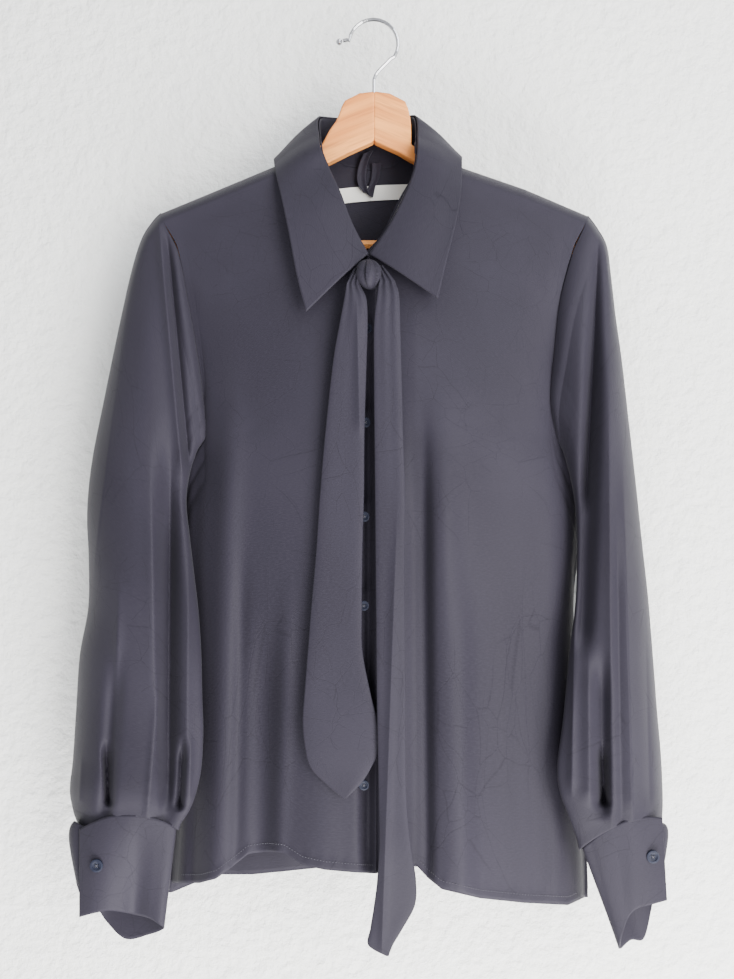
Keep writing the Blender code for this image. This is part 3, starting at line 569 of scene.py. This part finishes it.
def sleeve_points(rows, side, sense, folds, pleats, across, down):
    u, v = net(across, down)
    if side == "right":
        u = 1 - u
    angle = 2 * math.pi * u
    near = (1 + np.cos(angle)) / 2
    swing = np.sin(angle)
    value = {key: along(column, v) for key, column in rows.items()}
    x = blend(value["in_x"], value["out_x"], near)
    z = blend(value["in_z"], value["out_z"], near) + value["arch"] * swing ** 2
    y = blend(value["in_y"], value["out_y"], near)
    y = np.where(swing > 0, y + (value["front"] - y) * swing, y + (value["back"] - y) * -swing)
    chord_x = blend(rows["in_x"][0], rows["out_x"][0], near)
    loop_z = blend(rows["in_z"][0], rows["out_z"][0], near)
    edge = read(BODY, side, "z", loop_z)
    loop_y = np.where(swing > 0, front_y(edge, loop_z), back_y(edge, loop_z))
    loop_y = np.where(np.abs(swing) > 0.001, loop_y, 0.0)
    start_y = np.where(swing > 0, rows["front"][0] * swing, rows["back"][0] * -swing)
    x += value["keep"] * (edge - sense * 0.8 - chord_x)
    y += value["keep"] * (loop_y - start_y - 0.8 * swing)
    x -= sense * 2.5 * (1 - near) * ease((v - 0.12) / 0.1)
    y -= 2.2 * np.sin(math.pi * np.minimum(v / 0.1, 1.0)) * swing
    z -= 4.0 * ease((v - 0.975) / 0.025)
    front = np.clip(swing * 1.6, 0, 1)
    lift = relief(folds, x, z) + relief(pleats, x, z, 0.7) + 0.4 * ripple(x, z, 70, 5)
    y -= lift * front * ease(v / 0.07)
    return in_depth(x, y, z)


def build_sleeves(look):
    right = sleeve_points(SLEEVE_RIGHT_ROWS, "left", -1, SLEEVE_FOLDS_LEFT,
                          SLEEVE_PLEATS_RIGHT, 201, 200)
    cloth("sleeve_right_cloth", right, (0.27, 0.64), "sleeve_right", look, ring=True)
    left = sleeve_points(SLEEVE_LEFT_ROWS, "right", 1, SLEEVE_FOLDS_RIGHT,
                         SLEEVE_PLEATS_LEFT, 201, 200)
    cloth("sleeve_left_cloth", left, (0.25, 0.64), "sleeve_left", look, ring=True)


def build_cuff(name, rows, flip, node, width, top_limit, look):
    u, v = net(150, 40)
    if flip:
        u = 1 - u
    x = blend(along(rows["top_x"], u), along(rows["low_x"], u), v)
    y = blend(along(rows["top_y"], u), along(rows["low_y"], u), v)
    lap = np.exp(-((u - 0.86) / 0.12) ** 2) * (1 - v) ** 5
    x += lap * (-10 if flip else 11)
    top_z = np.minimum(along(rows["top_z"], u), top_limit) - 6 * lap
    z = blend(top_z, along(rows["low_z"], u), v)
    y -= 1.5 * np.sin(math.pi * v) * np.sin(math.pi * np.clip(u / 0.25, 0, 1))
    cloth(name, in_depth(x, y, z), (width, 0.09), node, look, BAND_WALL)


def collar_rows(u):
    row = {key: along(column, u) for key, column in COLLAR.items()}
    back = (u > 0.29) & (u < 0.71)
    row["neck_y"] = np.where(back, back_y(row["neck_x"], row["neck_z"]),
                             front_y(row["neck_x"], row["neck_z"]))
    away = np.stack([row["roll_x"] - -6.5, row["roll_y"]], -1)
    away /= np.linalg.norm(away, axis=-1, keepdims=True)
    row["away_x"], row["away_y"] = away[..., 0], away[..., 1]
    return row


def build_collar(look):
    u, v = net(220, 34)
    row = collar_rows(u)
    lift = 3.5 * np.sin(math.pi * v) * (1 - v * 0.6)
    x = blend(row["roll_x"], row["edge_x"], v) + row["away_x"] * lift
    y = blend(row["roll_y"], row["edge_y"], v) + row["away_y"] * lift
    z = blend(row["roll_z"], row["edge_z"], v) + lift * 0.5
    cloth("collar_cloth", in_depth(x, y, z), (0.44, 0.085), "collar", look, BAND_WALL)
    u, v = net(220, 14)
    row = collar_rows(u)
    x = blend(row["roll_x"] - row["away_x"] * 1.8, row["neck_x"], v)
    y = blend(row["roll_y"] - row["away_y"] * 1.8, row["neck_y"], v)
    z = blend(row["roll_z"] - 1.0, row["neck_z"], v)
    cloth("collar_stand_cloth", in_depth(x, y, z), (0.33, 0.024), "collar_stand", look)


def build_tail(name, rows, folds, node, size, look):
    u, v = net(48, 260)
    x = blend(along(rows["left"], v), along(rows["right"], v), u)
    z = along(rows["z"], v)
    y = along(rows["y"], v) - relief(folds, x, z, 0.6)
    gather = ease(1 - v / 0.045)
    z = z + 10 * gather
    x = blend(x, KNOT["x"][0], gather * 0.4)
    y += 1.2 * (2 * u - 1) ** 6 + 5 * gather
    y -= 1.5 * np.cos(5 * math.pi * u) * np.exp(-v / 0.09)
    y += 9 * ease((-775 - z) / 100)
    cloth(name, in_depth(x, y, z), size, node, look, 1.8)


def build_knot(look):
    """The tie's wrap: slanting bands that lie over one another and narrow downwards."""
    across, down = 120, 60
    u, v = net(across, down)
    angle = 2 * math.pi * u
    tilt = math.pi * np.clip(v, 0.004, 0.996)
    band = (6 * u + 1.5 * v + 0.12 * np.sin(2 * tilt)) % 1.0
    pleat = (1.04 - 0.26 * band ** 2.5 + 0.05 * np.sin(angle + 2.0 * v)) * (1 - 0.25 * v ** 2)
    x, z, y, half_width, half_height, half_depth = [column[0] for column in KNOT.values()]
    half_width, half_height = half_width * 1.15, half_height * 1.05
    side = half_width * np.sin(tilt) * np.cos(angle) * pleat
    rise = half_height * np.cos(tilt)
    lean = math.radians(14)
    turned_x = side * math.cos(lean) - rise * math.sin(lean)
    turned_z = side * math.sin(lean) + rise * math.cos(lean)
    depth = half_depth * np.sin(tilt) * np.sin(angle) * pleat
    points = in_depth(x + turned_x, y + depth, z + turned_z)
    cloth("tie_knot_cloth", points, (0.075, 0.04), "tie_knot", look, ring=True)


def build_loop(look):
    """The hanging loop: a folded ribbon inside the back of the neck."""
    u, v = net(12, 90)
    x = along(LOOP_PATH["x"], v) + (u - 0.5) * along(LOOP_PATH["width"], v)
    z = along(LOOP_PATH["z"], v) + (u - 0.5) * along(LOOP_PATH["tilt"], v)
    y = along(LOOP_PATH["y"], v) + 0.6 * np.cos(2 * math.pi * (u - 0.5))
    cloth("hanging_loop_cloth", in_depth(x, y, z), (0.0105, 0.09), "hanging_loop", look, 0.8)


def hard_piece(name, node, look):
    """Finishes the active object as a rigid piece that stands for a CAD node."""
    made = bpy.context.active_object
    made.name = name
    bpy.ops.object.transform_apply(location=True, rotation=True, scale=True)
    bpy.ops.object.shade_smooth_by_angle(angle=math.radians(35))
    made.data.materials.clear()
    made.data.materials.append(look)
    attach(made, "root")
    if node:
        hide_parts(node)
    return made


def cut_round(target, place, radius, depth):
    """Cuts a round hole along Y into the target."""
    bpy.ops.mesh.primitive_cylinder_add(vertices=14, radius=radius, depth=depth, location=place,
                                        rotation=(math.radians(90), 0, 0))
    drill = bpy.context.active_object
    hole = target.modifiers.new("Hole", "BOOLEAN")
    hole.object = drill
    bpy.context.view_layer.objects.active = target
    bpy.ops.object.modifier_apply(modifier="Hole")
    bpy.data.objects.remove(drill)


def build_button(node, width, look, thread):
    """A four-hole button with a raised rim, sewn on with a cross of thread."""
    low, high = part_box(node)
    middle = (low + high) / 2
    half = width / 2000
    bpy.ops.object.select_all(action="DESELECT")
    bpy.ops.mesh.primitive_cylinder_add(vertices=40, radius=half, depth=BUTTON_THICK / 1000,
                                        location=middle, rotation=(math.radians(90), 0, 0))
    disc = bpy.context.active_object
    face = middle.copy()
    face.y -= BUTTON_THICK / 2000
    cut_round(disc, face, half * 0.68, 0.0012)
    for turn in range(4):
        angle = math.radians(45 + 90 * turn)
        spot = face + Vector((math.cos(angle), 0, math.sin(angle))) * half * 0.3
        cut_round(disc, spot, half * 0.13, 0.0030)
    disc.select_set(True)
    bevel = disc.modifiers.new("Rim", "BEVEL")
    bevel.width = 0.00022
    bevel.segments = 2
    bevel.limit_method = "ANGLE"
    bpy.ops.object.modifier_apply(modifier="Rim")
    hard_piece(node + "_disc", node, look)
    for turn in (45, 135):
        bpy.ops.mesh.primitive_cylinder_add(vertices=8, radius=0.00028, depth=half * 0.62,
                                            location=face + Vector((0, 0.0004, 0)),
                                            rotation=(0, math.radians(turn), 0))
        hard_piece(f"{node}_thread_{turn}", None, thread)


def stitches(name, path, lift, look, step=2.8, length=1.7):
    """A row of machine stitches along a path in millimetres, lifted off its cloth."""
    path = np.asarray(path)
    gaps = np.linalg.norm(np.diff(path, axis=0), axis=1)
    distance = np.concatenate([[0], np.cumsum(gaps)])
    starts = np.arange(step, distance[-1] - step, step)
    ends = [np.stack([np.interp(at, distance, path[:, k]) for k in range(3)], 1)
            for at in (starts, starts + length)]
    points = []
    faces = []
    for a, b in zip(*ends):
        middle = (a + b) / 2
        first = len(points)
        points += [a, middle + (0, lift - THREAD, THREAD), middle + (0, lift, 0),
                   middle + (0, lift - THREAD, -THREAD), b]
        faces += [(first, first + 1, first + 2), (first, first + 2, first + 3),
                  (first + 4, first + 2, first + 1), (first + 4, first + 3, first + 2),
                  (first, first + 3, first + 1), (first + 4, first + 1, first + 3)]
    mesh = bpy.data.meshes.new(name)
    mesh.from_pydata((np.array(points) / 1000).tolist(), [], faces)
    made = mesh_object(name, mesh)
    made.data.materials.append(look)


def hem_path(hem, x_from, x_to, depth, lift):
    x = np.linspace(x_from, x_to, 160)
    z = straight(hem, "z", "x", x) + HEM_DEPTH
    return in_depth(x, depth(x, z) + lift, z) * 1000


def build_hem_stitches(look):
    stitches("hem_stitches_right", hem_path(HEM_FRONT, -184.5, 0, front_y, -0.3), -0.25, look)
    stitches("hem_stitches_left", hem_path(HEM_FRONT, 40, 194, front_y, -0.3), -0.25, look)
    stitches("hem_stitches_back", hem_path(HEM_BACK, -184.5, 190, back_y, 0.3), 0.25, look)


class Value:
    """A number in a material, on which arithmetic adds the Math nodes."""

    def __init__(self, finish, socket):
        self.finish = finish
        self.socket = socket

    def __add__(self, other):
        return self.finish.maths("ADD", self, other)

    def __sub__(self, other):
        return self.finish.maths("SUBTRACT", self, other)

    def __rsub__(self, other):
        return self.finish.maths("SUBTRACT", other, self)

    def __mul__(self, other):
        return self.finish.maths("MULTIPLY", self, other)

    def __truediv__(self, other):
        return self.finish.maths("DIVIDE", self, other)

    def __pow__(self, other):
        return self.finish.maths("POWER", self, other)

    __radd__ = __add__
    __rmul__ = __mul__


class Finish:
    """A material under construction, with the shader's fixed numbers set by name."""

    def __init__(self, name, **fixed):
        self.material = bpy.data.materials.new(name)
        self.material.use_nodes = True
        self.tree = self.material.node_tree
        self.shader = self.tree.nodes["Principled BSDF"]
        for key, value in fixed.items():
            self.shader.inputs[key.replace("_", " ")].default_value = value

    def node(self, kind, settings=None, **sockets):
        """A node with its settings made first, then the values or links of its sockets."""
        made = self.tree.nodes.new("ShaderNode" + kind)
        for key, value in (settings or {}).items():
            setattr(made, key, value)
        for key, value in sockets.items():
            self.feed(made.inputs[int(key[1:]) if key[1:].isdigit() else key.replace("_", " ")],
                      value)
        return made

    def feed(self, socket, value):
        if isinstance(value, Value):
            self.tree.links.new(value.socket, socket)
        elif isinstance(value, bpy.types.NodeSocket):
            self.tree.links.new(value, socket)
        else:
            socket.default_value = value

    def maths(self, operation, *values, clamp=False):
        sockets = {f"i{i}": value for i, value in enumerate(values)}
        made = self.node("Math", {"operation": operation, "use_clamp": clamp}, **sockets)
        return Value(self, made.outputs[0])

    def ramp(self, value, low, high):
        """0 where the value is at or below low, 1 at or above high, soft between."""
        made = self.node("MapRange", {"interpolation_type": "SMOOTHSTEP"},
                         Value=value, From_Min=low, From_Max=high)
        return Value(self, made.outputs[0])

    def place(self, kind, scale, turn=0.0):
        """Cloth or object coordinates, stretched by scale and turned about Z."""
        coords = self.node("TexCoord").outputs[kind]
        return self.node("Mapping", Vector=coords, Scale=scale,
                         Rotation=(0, 0, turn)).outputs[0]

    def noise(self, vector, scale, detail=2.0, roughness=0.5):
        made = self.node("TexNoise", Vector=vector, Scale=scale, Detail=detail,
                         Roughness=roughness)
        return Value(self, made.outputs[0])

    def mix(self, share, a, b):
        made = self.node("Mix", {"data_type": "RGBA"}, Factor=share)
        self.feed(made.inputs[6], a)
        self.feed(made.inputs[7], b)
        return made.outputs[2]

    def bump(self, height, distance, strength=1.0):
        made = self.node("Bump", Height=height, Distance=distance, Strength=strength)
        self.feed(self.shader.inputs["Normal"], made.outputs[0])


def satin_crepe():
    """Slate navy satin with a crosswise crepe grain and faint darker veins."""
    made = Finish("satin_crepe", Sheen_Weight=0.03, Sheen_Roughness=0.5,
                  Specular_IOR_Level=0.11)
    flat = made.place("UV", (1, 1, 1))
    warp = made.node("TexNoise", Vector=flat, Scale=16.0, Detail=2.0).outputs[1]
    bent = made.node("VectorMath", {"operation": "MULTIPLY_ADD"}, i0=warp, i1=(0.035, 0.02, 0.0),
                     i2=flat).outputs[0]
    patches = made.noise(flat, 11.0, 2.0)
    veins = 0.0
    for scale, width, low, high in ((22.0, 0.011, 0.36, 0.50), (43.0, 0.014, 0.42, 0.55)):
        cells = made.node("TexVoronoi", {"feature": "DISTANCE_TO_EDGE"}, Vector=bent, Scale=scale)
        line = 1 - made.ramp(Value(made, cells.outputs["Distance"]), 0.0, width)
        veins = veins + line * made.ramp(patches, low, high)
    grain = made.noise(made.place("UV", (260, 1400, 1)), 1.0, 2.0)
    cloud = made.noise(flat, 5.0, 3.0)
    body = made.mix(made.ramp(cloud, 0.3, 0.7), (0.0150, 0.0130, 0.0200, 1), (0.0205, 0.0180, 0.0268, 1))
    body = made.mix(veins * 0.26, body, (0.005, 0.004, 0.007, 1))
    body = made.mix(made.ramp(grain, 0.35, 0.75) * 0.22, body, (0.033, 0.030, 0.042, 1))
    made.feed(made.shader.inputs["Base Color"], body)
    made.feed(made.shader.inputs["Roughness"], 0.50 + 0.12 * grain + 0.05 * veins)
    made.bump(grain * 0.6 - veins * 0.2, 0.00025)
    return made.material


def pale_wood(name, turn):
    """Pale straight-grained wood whose grain follows one arm."""
    made = Finish(name, Coat_Weight=0.04, Coat_Roughness=0.4, Specular_IOR_Level=0.25)
    coords = made.node("TexCoord").outputs["Object"]
    turned = made.node("Mapping", Vector=coords, Rotation=(0, turn, 0)).outputs[0]
    stretched = made.node("Mapping", Vector=turned, Scale=(18, 220, 420)).outputs[0]
    streaks = made.noise(stretched, 1.0, 4.0, 0.65)
    bands = made.noise(made.node("Mapping", Vector=turned, Scale=(6, 50, 75)).outputs[0], 1.0, 2.0)
    body = made.mix(made.ramp(bands, 0.3, 0.7), (0.60, 0.205, 0.046, 1), (0.82, 0.335, 0.088, 1))
    body = made.mix(made.ramp(streaks, 0.45, 0.7) * 0.6, body, (0.40, 0.13, 0.035, 1))
    made.feed(made.shader.inputs["Base Color"], body)
    made.feed(made.shader.inputs["Roughness"], 0.42 + 0.2 * streaks)
    made.bump(streaks, 0.0002)
    return made.material


def thread_finish():
    made = Finish("thread", Sheen_Weight=0.3)
    twist = made.noise(made.node("TexCoord").outputs["Object"], 2500.0, 2.0)
    body = made.mix(twist, (0.012, 0.011, 0.017, 1), (0.045, 0.042, 0.060, 1))
    made.feed(made.shader.inputs["Base Color"], body)
    made.feed(made.shader.inputs["Roughness"], 0.5 + 0.2 * twist)
    return made.material


def polished_steel():
    made = Finish("polished_steel", Metallic=1.0)
    coords = made.node("TexCoord").outputs["Object"]
    scuffs = made.noise(coords, 900.0, 3.0)
    body = made.mix(scuffs, (0.34, 0.34, 0.35, 1), (0.55, 0.55, 0.57, 1))
    made.feed(made.shader.inputs["Base Color"], body)
    made.feed(made.shader.inputs["Roughness"], 0.12 + 0.16 * scuffs)
    return made.material


def button_shell():
    made = Finish("button_shell", Specular_IOR_Level=0.12)
    coords = made.node("TexCoord").outputs["Object"]
    cloud = made.noise(coords, 350.0, 3.0)
    body = made.mix(cloud, (0.006, 0.007, 0.014, 1), (0.020, 0.023, 0.040, 1))
    made.feed(made.shader.inputs["Base Color"], body)
    made.feed(made.shader.inputs["Roughness"], 0.32 + 0.2 * cloud)
    return made.material


def label_tape():
    made = Finish("label_tape", Sheen_Weight=0.2)
    rib = made.noise(made.place("UV", (900, 2600, 1)), 1.0, 1.0)
    body = made.mix(rib, (0.66, 0.65, 0.60, 1), (0.82, 0.81, 0.77, 1))
    made.feed(made.shader.inputs["Base Color"], body)
    made.feed(made.shader.inputs["Roughness"], 0.7 + 0.15 * rib)
    made.bump(rib, 0.0002)
    return made.material


def plaster():
    """A rough white wall that lets a camera behind it see through."""
    made = Finish("plaster", Roughness=0.9)
    coords = made.node("TexCoord").outputs["Object"]
    cloud = made.noise(coords, 3.0, 3.0)
    body = made.mix(cloud, (0.80, 0.80, 0.775, 1), (0.86, 0.86, 0.835, 1))
    made.feed(made.shader.inputs["Base Color"], body)
    made.bump(made.noise(coords, 75.0, 6.0, 0.6), 0.006, 0.8)
    behind = made.node("NewGeometry").outputs["Backfacing"]
    clear = made.node("BsdfTransparent").outputs[0]
    seen = made.node("MixShader", i0=behind, i1=made.shader.outputs[0], i2=clear).outputs[0]
    made.feed(made.tree.nodes["Material Output"].inputs[0], seen)
    return made.material


def finish_nodes(names, look):
    for name in names:
        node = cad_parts[name]
        node.data.materials.clear()
        node.data.materials.append(look)


def build_arm(side, look):
    """One mitred half of the hanger with its edges rounded over."""
    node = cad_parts["hanger_arm_" + side]
    mesh = node.data.copy()
    made = bpy.data.objects.new(f"wood_arm_{side}", mesh)
    bpy.context.scene.collection.objects.link(made)
    mesh.materials.clear()
    mesh.materials.append(look)
    for vert in mesh.vertices:
        if abs(vert.co.x - MITRE_X) < 0.001:
            vert.co.x = MITRE_X
    weld = made.modifiers.new("Weld", "WELD")
    weld.merge_threshold = 0.00001
    edges = made.modifiers.new("Edges", "BEVEL")
    edges.width = 0.0022
    edges.segments = 3
    edges.limit_method = "ANGLE"
    edges.angle_limit = math.radians(50)
    mesh.shade_flat()
    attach(made, "root")
    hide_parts("hanger_arm_" + side)


def camera():
    lens = bpy.data.cameras.new("camera")
    lens.sensor_width = 36.0
    lens.lens = 36.0 * -EYE[1] / PLANE_HEIGHT
    view = bpy.data.objects.new("camera", lens)
    view.location = [value / 1000 for value in EYE]
    view.rotation_euler = (math.radians(90), 0, 0)
    bpy.context.scene.collection.objects.link(view)
    bpy.context.scene.camera = view


def soft_light(name, place, aim, size, power, colour):
    lamp = bpy.data.lights.new(name, "AREA")
    lamp.shape = "RECTANGLE"
    lamp.size, lamp.size_y = size
    lamp.energy = power
    lamp.color = colour
    made = bpy.data.objects.new(name, lamp)
    made.location = place
    made.rotation_euler = (Vector(aim) - Vector(place)).to_track_quat("-Z", "Y").to_euler()
    bpy.context.scene.collection.objects.link(made)


def studio():
    soft_light("window", (1.3, -1.8, -0.8), (0, 0, -0.55), (1.2, 1.4), 92, (1.0, 0.985, 0.960))
    soft_light("floor_glow", (0.35, -0.9, -2.0), (0, 0, -0.85), (1.6, 0.7), 98, (1.0, 0.99, 0.985))
    soft_light("sky", (1.1, -1.2, 0.9), (0, 0, -0.3), (1.4, 1.2), 42, (0.93, 0.96, 1.0))
    world = bpy.data.worlds.new("world")
    world.use_nodes = True
    world.node_tree.nodes["Background"].inputs[0].default_value = (0.90, 0.92, 0.95, 1)
    world.node_tree.nodes["Background"].inputs[1].default_value = 1.25
    bpy.context.scene.world = world
    bpy.ops.object.select_all(action="DESELECT")
    bpy.ops.mesh.primitive_plane_add(size=6, location=(0, BACKDROP_Y, -0.45),
                                     rotation=(math.radians(90), 0, 0))
    backdrop = bpy.context.active_object
    backdrop.name = "backdrop"
    backdrop.visible_diffuse = False
    backdrop.visible_shadow = False
    bpy.ops.object.transform_apply(location=True, rotation=True, scale=True)
    backdrop.data.materials.append(plaster())


def main():
    camera()
    studio()
    crepe = satin_crepe()
    build_fronts(crepe)
    build_back(crepe)
    build_sleeves(crepe)
    build_cuff("cuff_right_cloth", CUFF_RIGHT, False, "cuff_right", 0.24, -756, crepe)
    build_cuff("cuff_left_cloth", CUFF_LEFT, True, "cuff_left", 0.19, -757, crepe)
    build_collar(crepe)
    build_tail("tie_tail_right_cloth", TAIL_RIGHT, TAIL_RIGHT_FOLDS, "tie_tail_right",
               (0.06, 0.5), crepe)
    build_tail("tie_tail_left_cloth", TAIL_LEFT, TAIL_LEFT_FOLDS, "tie_tail_left",
               (0.032, 0.63), crepe)
    build_knot(crepe)
    thread = thread_finish()
    build_hem_stitches(thread)
    shell = button_shell()
    for index in range(1, 7):
        build_button(f"front_button_{index}", FRONT_BUTTON, shell, thread)
    for side in ("right", "left"):
        build_button("cuff_button_" + side, CUFF_BUTTON, shell, thread)
    build_loop(crepe)
    finish_nodes(["neck_label"], label_tape())
    build_arm("right", pale_wood("wood_right", math.radians(22)))
    build_arm("left", pale_wood("wood_left", math.radians(-22)))
    finish_nodes(["hanger_bar"], pale_wood("wood_bar", 0.0))
    finish_nodes(["hook", "hook_tip"], polished_steel())


main()
